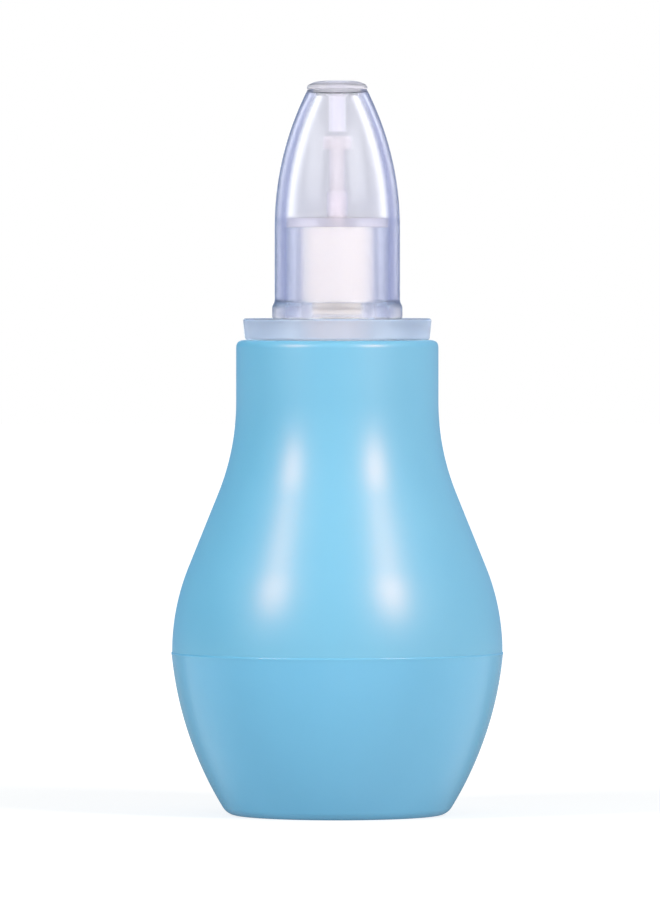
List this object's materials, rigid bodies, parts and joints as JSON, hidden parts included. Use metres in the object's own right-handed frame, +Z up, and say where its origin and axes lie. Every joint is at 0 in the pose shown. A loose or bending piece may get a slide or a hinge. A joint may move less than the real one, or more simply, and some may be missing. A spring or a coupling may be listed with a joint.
{
  "type": "nasal aspirator",
  "caption": "Squeeze-bulb nasal aspirator: soft bulb with a satin cup and glossy neck, clear flanged connector with foam filter, and a clear domed catch nozzle with a soft tip.",
  "frame": {"origin": "centre of the flat foot that the bulb stands on", "axes": "+Z up along the axis of the bulb and the nozzle, towards the suction tip; the part is turned about Z, so X and Y are any two square directions"},
  "size_m": [0.052, 0.052, 0.115],
  "materials": {
    "bulb_gloss": "glossy moulded soft vinyl, sky blue",
    "bulb_satin": "satin moulded soft vinyl, sky blue",
    "clear_plastic": "clear moulded polypropylene, faint lavender tint",
    "nozzle_clear": "clear polished polypropylene, faint lavender tint",
    "clear_tube": "milky clear moulded polypropylene",
    "filter_foam": "white open-cell foam",
    "tip_silicone": "translucent soft silicone"
  },
  "bodies": {
    "base": {"bulb_lower": "bulb_satin"},
    "bulb_top": {"bulb_upper": "bulb_gloss"},
    "connector": {"connector": "clear_plastic", "filter": "filter_foam", "chamber_floor": "clear_plastic", "standpipe": "clear_tube", "splash_cap": "clear_tube"},
    "nozzle": {"nozzle": "nozzle_clear"},
    "tip": {"soft_tip": "tip_silicone"}
  },
  "joints": [
    {"name": "bulb_squeeze", "type": "slide", "parent": "base", "child": "bulb_top", "axis": [0, 0, -1], "range_m": [0, 0.012], "stiffness_N_per_m": 1200, "springref_m": -0.0005, "deforming": ["bulb_upper"]},
    {"name": "connector_pull", "type": "slide", "parent": "bulb_top", "child": "connector", "axis": [0, 0, 1], "range_m": [0, 0.014]},
    {"name": "nozzle_pull", "type": "slide", "parent": "connector", "child": "nozzle", "axis": [0, 0, 1], "range_m": [0, 0.032]},
    {"name": "tip_pull", "type": "slide", "parent": "nozzle", "child": "tip", "axis": [0, 0, 1], "range_m": [0, 0.009]}
  ]
}
